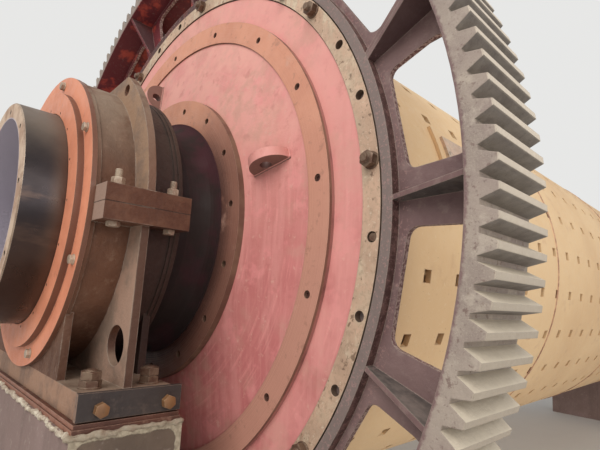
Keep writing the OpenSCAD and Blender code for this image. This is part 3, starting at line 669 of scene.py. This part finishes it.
def journal_look():
    """Ground journal: matt brown-grey on top, paler there as a painted reflection; oiled blue-grey low down,
    with a painted brown reflection; dusty pale end face.
    """
    look = Look("journal_steel")
    worn = look.edges(0.003)
    ground = look.line_noise(look.x, 700.0)
    top = look.plus(look.up(), look.wander(look.cloud(5.0, 4.0, 0.6), 0.2))
    dry_and_sheen = look.spread(top, 0.1, 0.34)
    look.color = look.mottled((0.046, 0.036, 0.036), (0.028, 0.022, 0.024), 2.5, 4.0, 0.6, 0.35, 0.65)
    # Painted reflection: paler brown-grey on top, which is also matt
    look.color = look.mix(dry_and_sheen, look.color, (0.15, 0.118, 0.09))
    look.spot((0.15, 0.095, 0.07), 0.5, 1.0, 0.55, 0.72, (3.0, 12.0, 12.0))
    # Painted reflection: brown tint low down
    look.coat(look.spread(top, -0.02, -0.22), 0.6, (0.105, 0.056, 0.038))
    # Primer rubbed off the seal cover leaves a brown band beside it
    seal = BEARING_OFF + BARREL_LEN / 2 + SEAL_FLANGE_T
    look.coat(look.past_end(seal + 0.085, seal + 0.025), 0.55, (0.15, 0.098, 0.07))
    ends = look.faces(ALONG, 0.5, 0.9)
    face = look.mottled((0.6, 0.44, 0.315), (0.39, 0.235, 0.15), 12.0, 5.0, 0.7, 0.42, 0.66)
    look.color = look.mix(ends, look.color, face)
    neck = look.past_end(*NECK_U)
    wine = look.both(look.spots(3.0, 0.44, 0.6), look.past_end(*NECK_WINE_U))
    look.color = look.mix(neck, look.color, look.mix(wine, (0.028, 0.014, 0.012), (0.055, 0.014, 0.018)))
    # Painted highlight: the bore is pale lilac grey
    inside = look.spread(look.radius(), BORE_R + 0.005, BORE_R + 0.001)
    look.coat(inside, 0.9, (0.5, 0.455, 0.53))
    look.coat(worn, look.spread(neck, 0.0, 1.0, 0.7, 0.0), (0.66, 0.56, 0.45))
    look.relief(look.plus(look.both(ground, 0.4), look.cloud(40.0, 3.0, 0.6)), 0.00025)
    matt = look.plus(look.calc("MAXIMUM", ends, dry_and_sheen), look.both(neck, 1.8))
    rough = look.plus(look.uneven(9.0, 0.24, 0.38), look.both(matt, 0.26))
    dull = look.both(look.plus(look.plus(ends, neck), look.plus(dry_and_sheen, inside)), 0.6)
    return look.finish(rough, look.calc("MAXIMUM", look.less(0.75, dull), 0.0))


def bronze_look():
    look = Look("bronze")
    worn = look.edges(0.002)
    look.color = look.mottled((0.52, 0.38, 0.17), (0.34, 0.22, 0.1), 8.0, 4.0, 0.6, 0.35, 0.65)
    look.coat(worn, 0.5, (0.66, 0.52, 0.28))
    look.relief(look.line_noise(look.x, 500.0), 0.0003)
    return look.finish(look.uneven(20.0, 0.28, 0.45), 0.8)


def bolt_look(name, base, rust, bright, metallic=0.35):
    look = Look(name)
    worn = look.edges(0.0015)
    look.color = look.mottled(base, rust, 30.0, 4.0, 0.7, 0.38, 0.62)
    look.spot(rust, 0.5, 7.0, 0.5, 0.62)
    look.coat(worn, 0.8, bright)
    look.relief(look.cloud(180.0, 3.0, 0.7), 0.0005)
    return look.finish(look.uneven(60.0, 0.38, 0.6), metallic)


def grout_look():
    """Crumbly pale mortar, dirtier along the long sides of a pier."""
    look = Look("grout")
    look.color = look.mottled((0.78, 0.7, 0.56), (0.46, 0.36, 0.27), 40.0, 5.0, 0.7)
    long_side = look.spread(look.size(look.y), PIER_Y - 0.016, PIER_Y - 0.008)
    look.coat(long_side, 0.7, (0.27, 0.215, 0.15))
    look.spot((0.34, 0.25, 0.19), 0.5, 9.0, 0.55, 0.68)
    look.relief(look.cloud(130.0, 4.0, 0.75), 0.003)
    return look.finish(0.9, 0.0, 0.25)


def weld_look():
    look = Look("weld")
    worn = look.edges(0.001)
    look.color = look.mottled((0.62, 0.36, 0.22), (0.34, 0.17, 0.11), 14.0, 4.0, 0.7, 0.38, 0.62)
    look.coat(worn, 0.5, (0.5, 0.36, 0.26))
    look.relief(look.cloud(220.0, 3.0, 0.7), 0.0006)
    return look.finish(0.55, 0.2)


def floor_look():
    look = Look("floor")
    shade = tuple(c * FLOOR_SHADE for c in FLOOR_COLOR)
    look.color = look.mottled(FLOOR_COLOR, shade, 0.8, 4.0, 0.6, 0.3, 0.7)
    look.relief(look.cloud(60.0), 0.0004)
    return look.finish(0.8, 0.0, 0.2)


# Colours of the looks that share a recipe, in the order of the recipe's arguments
# In PLATES, the fourth colour is the painted highlight on the ends along the mill
PLATES = {
    "plate": ((0.11, 0.038, 0.022), (0.078, 0.028, 0.018), (0.4, 0.24, 0.17), (0.35, 0.155, 0.1),
        0.4, 0.0),
    "dark_plate": ((0.055, 0.04, 0.035), (0.04, 0.029, 0.027), (0.3, 0.21, 0.16), (0.3, 0.18, 0.125),
        0.12, 0.1),
}
# In RINGS, the fourth colour and the span after it give the painted shade low down
RINGS = {
    "band_primer": ((0.78, 0.355, 0.23), (0.68, 0.29, 0.185), (0.81, 0.44, 0.315), (0.52, 0.25, 0.19),
        (0.2, -0.9), 0.35),
    "neck_primer": ((0.74, 0.335, 0.205), (0.62, 0.265, 0.165), (0.76, 0.4, 0.275), (0.165, 0.07, 0.055),
        (0.5, -0.15), 0.3),
}
BOLTS = {
    "rust_bolt": ((0.205, 0.135, 0.09), (0.125, 0.062, 0.04), (0.4, 0.3, 0.21)),
    "sunk_bolt": ((0.11, 0.046, 0.034), (0.075, 0.03, 0.025), (0.19, 0.095, 0.07)),
    "pale_bolt": ((0.5, 0.4, 0.3), (0.33, 0.225, 0.16), (0.68, 0.58, 0.46), 0.3),
    "orange_bolt": ((0.26, 0.125, 0.05), (0.18, 0.09, 0.045), (0.6, 0.46, 0.3), 0.15),
}


def make_looks():
    """Every material by name: those of the record's slots, and those that only pieces made here use."""
    looks = {
        "concrete": pier_look(),
        "casting": casting_look(),
        "bronze": bronze_look(),
        "seal_paint": seal_look(),
        "shell_primer": shell_look(),
        "machined": machined_look(),
        "cover_paint": cover_look(),
        "journal_steel": journal_look(),
        "gear_paint": gear_look(),
        "grout": grout_look(),
        "weld": weld_look(),
    }
    for recipe, table in ((plate_look, PLATES), (ring_look, RINGS), (bolt_look, BOLTS)):
        for name, values in table.items():
            looks[name] = recipe(name, *values)
    return looks


# Mesh tools

HEX_STEPS = 24
ROUND_STEPS = 32
SHANK_STEPS = 16


def from_flat(angle):
    """Angle from the middle of the nearest side of a hexagon."""
    return (angle + pi / 6) % (pi / 3) - pi / 6


class Build:
    """One joined piece, built from turned and swept forms."""

    def __init__(self, seed=""):
        self.bm = bmesh.new()
        self.rng = random.Random(seed)

    def rows(self, rows):
        """Skin between rows of points, each a ring."""
        made = [[self.bm.verts.new(p) for p in row] for row in rows]
        for first, second in zip(made, made[1:]):
            count = len(first)
            for i in range(count):
                k = (i + 1) % count
                self.bm.faces.new((first[i], first[k], second[k], second[i]))
        return made

    def capped(self, rows):
        made = self.rows(rows)
        self.bm.faces.new(list(reversed(made[0])))
        self.bm.faces.new(made[-1])

    def hexagon(self, at, flats, height, foot=0.0):
        """Bolt head or nut with the usual turned corners, flats being its width across them."""
        flat = flats / 2
        crown = 0.95 * flat
        rows = ([], [], [])
        for i in range(HEX_STEPS):
            a = tau * i / HEX_STEPS
            r = flat / cos(from_flat(a))
            drop = (r - crown) * math.tan(radians(30))
            x, y = cos(a), sin(a)
            rows[0].append(at @ Vector((r * x, r * y, foot)))
            rows[1].append(at @ Vector((r * x, r * y, foot + height - drop)))
            rows[2].append(at @ Vector((crown * x, crown * y, foot + height)))
        self.capped(rows)

    def turned(self, at, profile, steps=ROUND_STEPS):
        """Solid of revolution about the local z axis, closed by flat ends."""
        rows = []
        for r, z in profile:
            ring = [(r * cos(tau * i / steps), r * sin(tau * i / steps), z) for i in range(steps)]
            rows.append([at @ Vector(p) for p in ring])
        self.capped(rows)

    def spun(self):
        """A fastener's own angle, which differs from bolt to bolt."""
        return turned_by(self.rng.uniform(0.0, tau), "Z")

    def shank(self, at, radius, start, end, steps=SHANK_STEPS):
        self.turned(at, ((radius, start), (radius, end)), steps)

    def washer(self, at, radius, thick, foot=0.0):
        soft = thick * 0.25
        self.turned(at, ((radius, foot), (radius, foot + thick - soft), (radius - soft, foot + thick)))

    def on_washer(self, at, bolt, height, foot=0.0):
        """Head or nut of a bolt on its washer."""
        self.washer(at, bolt.washer_r, bolt.washer_t, foot)
        self.hexagon(at, bolt.flats, height, foot + bolt.washer_t)

    def thread(self, at, radius, start, end, pitch):
        """Threaded shank: ridges a pitch apart and a chamfered tip."""
        profile = [(radius - pitch / 2, start)]
        count = max(int((end - start) / pitch), 1)
        for i in range(count):
            z = start + i * pitch
            profile.append((radius, z + pitch * 0.35))
            profile.append((radius - pitch / 2, z + pitch * 0.85))
        profile.append((radius - pitch * 0.8, end))
        self.turned(at, profile, 20)

    def socket_screw(self, at, radius, top):
        """Cap screw sunk in its hole, with a hexagon socket."""
        rows = []
        outline = ((radius, top - 0.010, False), (radius, top - 0.001, False), (radius * 0.9, top, False),
            (radius * 0.55, top, True), (radius * 0.5, top - 0.005, True))
        for r, z, six in outline:
            row = []
            for i in range(HEX_STEPS):
                a = tau * i / HEX_STEPS
                reach = r / cos(from_flat(a)) if six else r
                row.append(at @ Vector((reach * cos(a), reach * sin(a), z)))
            rows.append(row)
        self.capped(rows)

    def bead(self, path, radius, seed, ripple, wild, sides):
        """Rough bead swept along a closed path of points. Ripple is the height of its regular ridges."""
        rows = []
        count = len(path)
        for i, point in enumerate(path):
            ahead = (path[(i + 1) % count] - path[i - 1]).normalized()
            side = ahead.cross(Vector((0.0, 0.0, 1.0)))
            if side.length < 0.1:
                side = ahead.cross(Vector((0.0, 1.0, 0.0)))
            side.normalize()
            lift = side.cross(ahead)
            row = []
            for k in range(sides):
                a = tau * k / sides
                way = side * cos(a) + lift * sin(a)
                rough = 1.0 + wild * noise.noise((point + way * 0.02) * 34.0 + Vector((seed, 0.0, 0.0)))
                rough += wild * 0.6 * noise.noise((point + way * 0.01) * 95.0 + Vector((0.0, seed, 0.0)))
                rough += ripple * sin(i * 1.7)
                row.append(point + way * radius * rough)
            rows.append(row)
        rows.append([Vector(p) for p in rows[0]])
        self.rows(rows)

    def piece(self, name, look, body, smooth=radians(35)):
        """Object that rides on a body. Edges sharper than smooth stay sharp."""
        bmesh.ops.remove_doubles(self.bm, verts=self.bm.verts, dist=1e-6)
        bmesh.ops.recalc_face_normals(self.bm, faces=self.bm.faces)
        for face in self.bm.faces:
            face.smooth = True
        for edge in self.bm.edges:
            edge.smooth = len(edge.link_faces) == 2 and edge.calc_face_angle(pi) < smooth
        mesh = bpy.data.meshes.new(name)
        self.bm.to_mesh(mesh)
        self.bm.free()
        mesh.materials.append(look)
        made = placed(name, mesh)
        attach(made, body)
        return made


# Places on the mill

def moved(x, y, z):
    return Matrix.Translation((x, y, z))


def turned_by(angle, axis):
    return Matrix.Rotation(angle, 4, axis)


def end_frame(end):
    """Origin at the shell's end face, local z outwards, local x up."""
    face = moved(-END_X, 0.0, AXIS_H) @ turned_by(-pi / 2, "Y")
    return turned_by(ENDS[end], "Z") @ face


def at_end(end, angle, radius, out):
    """Place on an end at an angle above the horizontal, local x pointing away from the axis."""
    return end_frame(end) @ turned_by(radians(angle - 90.0), "Z") @ moved(radius, 0.0, out)


def bearing_frame(end):
    """Origin on the axis in the middle of a bearing."""
    return turned_by(ENDS[end], "Z") @ moved(-END_X - BEARING_OFF, 0.0, AXIS_H)


def flipped():
    return turned_by(pi, "X")


# Fasteners, with the usual sizes of their metric threads

Bolt = namedtuple("Bolt", "flats head nut washer_r washer_t shank_r")
SEAL_SCREW = Bolt(0.027, 0.012, None, 0.017, 0.003, 0.0075)
SPLIT_STUD = Bolt(0.036, 0.015, 0.024, 0.023, 0.004, 0.0118)
ANCHOR_BOLT = Bolt(0.055, None, 0.020, 0.033, 0.005, 0.0178)
STOP_BOLT = Bolt(0.036, 0.019, None, None, None, 0.0115)
FLANGE_BOLT = Bolt(0.046, 0.019, 0.024, 0.028, 0.004, 0.0148)
JOINT_BOLT = Bolt(0.036, 0.015, 0.020, 0.022, 0.003, 0.0118)
# Outer radius and pitch of the modelled threads
THREAD_24 = (0.012, 0.003)
THREAD_30 = (0.015, 0.0035)


def seal_screws(end, looks):
    build = Build("seal " + end)
    for outward in (-1.0, 1.0):
        turn = turned_by(outward * pi / 2, "Y")
        for angle in SEAL_SCREWS:
            a = radians(angle)
            x = outward * (BARREL_LEN / 2 + SEAL_FLANGE_T)
            face = moved(x, outward * SEAL_HOLE_AT * sin(a), SEAL_HOLE_AT * cos(a))
            at = bearing_frame(end) @ face @ turn @ build.spun()
            build.on_washer(at, SEAL_SCREW, SEAL_SCREW.head)
            build.shank(at, SEAL_SCREW.shank_r, -0.014, 0.0)
    return build.piece("seal_screws_" + end, looks["pale_bolt"], "base")


def split_studs(end, looks):
    build = Build("split " + end)
    radius, pitch = THREAD_24
    for x in (-STUD_X, STUD_X):
        for y in (-STUD_Y, STUD_Y):
            at = bearing_frame(end) @ moved(x, y, 0.0) @ build.spun()
            build.on_washer(at, SPLIT_STUD, SPLIT_STUD.nut, SPLIT_T)
            build.thread(at, radius, SPLIT_T + 0.026, SPLIT_T + 0.054, pitch)
            build.shank(at, SPLIT_STUD.shank_r, -SPLIT_T, SPLIT_T)
            build.hexagon(at @ moved(0.0, 0.0, -SPLIT_T) @ flipped(), SPLIT_STUD.flats, SPLIT_STUD.head)
    return build.piece("split_studs_" + end, looks["pale_bolt"], "base")


LOCK_NUT_FOOT = 0.0255
LOCK_NUT = 0.023
ANCHOR_TIP = ((0.0175, 0.048), (0.0175, 0.0505), (0.013, 0.053))


def anchor_bolts(end, looks):
    build = Build("anchor " + end)
    for x in (-ANCHOR_X, ANCHOR_X):
        for y in (-ANCHOR_Y, ANCHOR_Y):
            place = bearing_frame(end) @ moved(x, y, -FOOT_TOP)
            build.on_washer(place @ build.spun(), ANCHOR_BOLT, ANCHOR_BOLT.nut)
            build.hexagon(place @ build.spun(), ANCHOR_BOLT.flats, LOCK_NUT, LOCK_NUT_FOOT)
            build.turned(place, ANCHOR_TIP, 24)
            build.shank(place, ANCHOR_BOLT.shank_r, FOOT_TOP - SOLE_Z, 0.001, 24)
    return build.piece("anchor_bolts_" + end, looks["rust_bolt"], "base")


def stop_bolts(end, looks):
    build = Build("stop " + end)
    for x in (-STOP_BOLT_X, STOP_BOLT_X):
        for side in (-1.0, 1.0):
            place = moved(x + STOP_BOLT_SHIFT, side * STOP_FACE_Y, -STOP_BOLT_Z)
            at = bearing_frame(end) @ place @ turned_by(-side * pi / 2, "X") @ build.spun()
            build.hexagon(at, STOP_BOLT.flats, STOP_BOLT.head)
            build.shank(at, STOP_BOLT.shank_r, -0.030, 0.0)
    return build.piece("stop_bolts_" + end, looks["orange_bolt"], "base")


FLANGE_COUNT = 32
# Holes whose bolt is fitted at the gear end, and the one whose bolt has no nut yet
FITTED = (0, 3, 4, 7, 10, 16, 19, 22, 25, 28)
BARE = -1
# Reach of a bolt past the ring's face with its nut on, and without a nut
BOLT_REACH = 0.042
BARE_REACH = -0.004


def flange_bolt(build, place, nut):
    radius, pitch = THREAD_30
    back_face = -RING_FACE - FLANGE_T
    at = place @ build.spun()
    back = place @ moved(0.0, 0.0, back_face) @ flipped() @ build.spun()
    build.hexagon(back, FLANGE_BOLT.flats, FLANGE_BOLT.head)
    build.shank(at, FLANGE_BOLT.shank_r, back_face, -0.009, 20)
    build.thread(at, radius, -0.010, BOLT_REACH if nut else BARE_REACH, pitch)
    if nut:
        build.on_washer(at, FLANGE_BOLT, FLANGE_BOLT.nut)


def flange_bolts(end, looks):
    build = Build("flange " + end)
    chosen = [(k, True) for k in range(FLANGE_COUNT)]
    if end == "gear_end":
        chosen = [(k, True) for k in FITTED] + [(BARE, False)]
    for k, nut in chosen:
        angle = FLANGE_TURN + k * (360.0 / FLANGE_COUNT)
        flange_bolt(build, at_end(end, angle, FLANGE_PITCH_R, RING_FACE), nut)
    return build.piece("flange_bolts_" + end, looks["rust_bolt"], "drum")


COVER_SCREW_COUNT = 16
# Radius of the hole circle, height of the face, and height of the screw's top over that face
COVER_SCREW_RINGS = ((BAND_HOLE_AT, BAND_FACE, -0.005), (NECK_HOLE_AT, NECK_FACE, -0.012))


def cover_screws(end, looks):
    build = Build("cover " + end)
    for k in range(COVER_SCREW_COUNT):
        angle = COVER_TURN + 360.0 / COVER_SCREW_COUNT * k
        for radius, face, top in COVER_SCREW_RINGS:
            build.socket_screw(at_end(end, angle, radius, face) @ build.spun(), COVER_HOLE_R - 0.0008, top)
    return build.piece("cover_screws_" + end, looks["sunk_bolt"], "drum")


def joint_bolts(looks):
    build = Build("joint")
    thread_r, pitch = THREAD_24
    for turn in (0.0, 180.0):
        for share in JOINT_SHARES:
            radius = COLLAR_OUT_R + (RIM_IN_R - COLLAR_OUT_R) * share
            place = at_end("gear_end", JOINT_ANGLE + turn, radius, WEB_T / 2 - JOINT_BOLT_Z)
            across = place @ turned_by(-pi / 2, "X")
            build.on_washer(across @ moved(0.0, 0.0, JOINT_T) @ build.spun(), JOINT_BOLT, JOINT_BOLT.head)
            nut = across @ moved(0.0, 0.0, -JOINT_T) @ flipped() @ build.spun()
            build.on_washer(nut, JOINT_BOLT, JOINT_BOLT.nut)
            build.thread(nut, thread_r, 0.020, 0.034, pitch)
            build.shank(across, JOINT_BOLT.shank_r, -JOINT_T, JOINT_T)
    return build.piece("gear_joint_bolts", looks["rust_bolt"], "drum")


# Grout and welds

GROUT_STEP = 0.006
GROUT_R = 0.0068
GROUT_WANDER = 0.005


def pier_grout(end, looks):
    """Lumpy mortar squeezed out along the top edge of a pier."""
    half_x, half_y = PIER_X - 0.001, PIER_Y - 0.003
    corners = ((-half_x, -half_y), (half_x, -half_y), (half_x, half_y), (-half_x, half_y))
    path = []
    for start, stop in zip(corners, corners[1:] + corners[:1]):
        count = int(math.dist(start, stop) / GROUT_STEP)
        for i in range(count):
            t = i / count
            x = start[0] + (stop[0] - start[0]) * t
            y = start[1] + (stop[1] - start[1]) * t
            wander = GROUT_WANDER * noise.noise(Vector((x, y, 3.0)) * 40.0)
            path.append(bearing_frame(end) @ Vector((x, y, -SOLE_Z - 0.004 + wander)))
    build = Build()
    build.bead(path, GROUT_R, 7.0, 0.0, 1.2, 10)
    return build.piece("pier_grout_" + end, looks["grout"], "base", pi)


# Liner bolt holes are a fifth of a step wide, and every second row is set off by one width
LINER_STEP = SHELL_LEN / 30
LINER_HOLE = LINER_STEP / 5
LINER_FROM = -2.992
# The shell is divided into cells round its axis. Each row of holes has cells beside it that stay closed
ROUND_CELLS = 150
ROW_CELLS = 5
ROW_START = 28.4
# Degrees and metres from the manhole's middle within which no hole is cut
MANHOLE_FREE_ANGLE = 12.0
MANHOLE_FREE = 0.52


def liner_hole(cell, x):
    """Whether a liner bolt hole is cut at this cell round the shell and this place along it."""
    if cell % ROW_CELLS:
        return False
    row = cell // ROW_CELLS
    share = ((x - LINER_FROM) / LINER_STEP) % 1.0
    odd = row % 2
    if not odd * LINER_HOLE <= share * LINER_STEP < (1 + odd) * LINER_HOLE:
        return False
    angle = ROW_START + row * ROW_CELLS * 360.0 / ROUND_CELLS
    off = (angle - MANHOLE_ANGLE + 180.0) % 360.0 - 180.0
    return abs(off) > MANHOLE_FREE_ANGLE or abs(x - MANHOLE_MID) > MANHOLE_FREE


def shell_cuts(ends):
    """Places along the shell where its skin is divided: its ends, and the sides of the holes."""
    cuts = {-ends, ends}
    period = math.floor((-ends - LINER_FROM) / LINER_STEP)
    while LINER_FROM + period * LINER_STEP < ends:
        for k in range(3):
            x = LINER_FROM + period * LINER_STEP + k * LINER_HOLE
            if -ends < x < ends:
                cuts.add(x)
        period += 1
    return sorted(cuts)


def shell_skin(looks):
    """The shell plate, cut by the square holes for the bolts of its liner."""
    cuts = shell_cuts(END_X - FLANGE_T)
    build = Build()
    new_face = build.bm.faces.new
    rings = []
    for radius in (SHELL_R, SHELL_R - SHELL_T):
        ring = []
        for x in cuts:
            row = []
            for i in range(ROUND_CELLS):
                a = radians(ROW_START + (i - 0.5) * 360.0 / ROUND_CELLS)
                row.append(build.bm.verts.new((x, -radius * cos(a), AXIS_H + radius * sin(a))))
            ring.append(row)
        rings.append(ring)
    outer, inner = rings
    for j in range(len(cuts) - 1):
        middle = (cuts[j] + cuts[j + 1]) / 2
        for i in range(ROUND_CELLS):
            k = (i + 1) % ROUND_CELLS
            corners = ((j, i), (j + 1, i), (j + 1, k), (j, k))
            if liner_hole(i, middle):
                for (a, b), (c, d) in zip(corners, corners[1:] + corners[:1]):
                    new_face((outer[a][b], outer[c][d], inner[c][d], inner[a][b]))
            else:
                new_face([outer[a][b] for a, b in corners])
                new_face([inner[a][b] for a, b in reversed(corners)])
    for j in (0, len(cuts) - 1):
        for i in range(ROUND_CELLS):
            k = (i + 1) % ROUND_CELLS
            new_face((outer[j][i], outer[j][k], inner[j][k], inner[j][i]))
    skin = build.piece("shell_plate", looks["shell_primer"], "drum")
    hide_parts("shell")


WELD_STEPS = 720
WELD_SIDES = 6
# Shares of the shell's length at which its plates are welded together
SEAM_SHARES = (0.25, 0.5, 0.75)


def circle_path(end, radius, out):
    return [at_end(end, 360.0 * i / WELD_STEPS, radius, out).translation for i in range(WELD_STEPS)]


def shell_welds(looks):
    """Welds behind the end flanges, and the flush seams between plates."""
    build = Build()
    for end in ENDS:
        build.bead(circle_path(end, SHELL_R + 0.003, -FLANGE_T - 0.003), 0.008, 1.0, 0.06, 0.15, WELD_SIDES)
    for share in SEAM_SHARES:
        path = circle_path("gear_end", SHELL_R - 0.001, -SHELL_LEN * share)
        build.bead(path, 0.006, 2.0, 0.10, 0.15, WELD_SIDES)
    return build.piece("shell_welds", looks["weld"], "drum", pi)


LUG_COUNT = 4
LUG_WELD_STEPS = 96
# How far an ellipse is stretched and then clipped, so that it follows the rounded foot of a lug
LUG_CLIP = (1.12, 2.2)


def clipped(value):
    return max(-1.0, min(1.0, value))


def lug_welds(end, looks):
    build = Build()
    for k in range(LUG_COUNT):
        place = at_end(end, LUG_TURN + 360.0 / LUG_COUNT * k, LUG_AT, LUG_BASE)
        path = []
        for i in range(LUG_WELD_STEPS):
            a = tau * i / LUG_WELD_STEPS
            x = LUG_R * clipped(LUG_CLIP[0] * cos(a))
            y = LUG_T / 2 * clipped(LUG_CLIP[1] * sin(a))
            path.append(place @ Vector((x, y, -0.001 - x * CONE_SLOPE)))
        build.bead(path, 0.006, 4.0 + k, 0.10, 0.25, WELD_SIDES)
    return build.piece("lug_welds_" + end, looks["cover_paint"], "drum", pi)


def add_floor():
    mesh = bpy.data.meshes.new("floor")
    corners = [(x * FLOOR_REACH, y * FLOOR_REACH, 0.0) for x, y in ((-1, -1), (1, -1), (1, 1), (-1, 1))]
    mesh.from_pydata(corners, [], [(0, 1, 2, 3)])
    mesh.materials.append(floor_look())
    return placed("floor", mesh)


# Build everything

add_camera()
add_world()
add_lights()
looks = make_looks()
slot_of = {part["node"]: part["material_slot"] for part in frame["record"]["subparts"]}
for name, item in frame["nodes"].items():
    item.data.materials.clear()
    item.data.materials.append(looks[slot_of[name]])

for end in ENDS:
    for make in (seal_screws, split_studs, anchor_bolts, stop_bolts, flange_bolts, cover_screws, pier_grout,
            lug_welds):
        make(end, looks)
joint_bolts(looks)
shell_skin(looks)
shell_welds(looks)

floor = add_floor()

scene.view_settings.view_transform = "Standard"
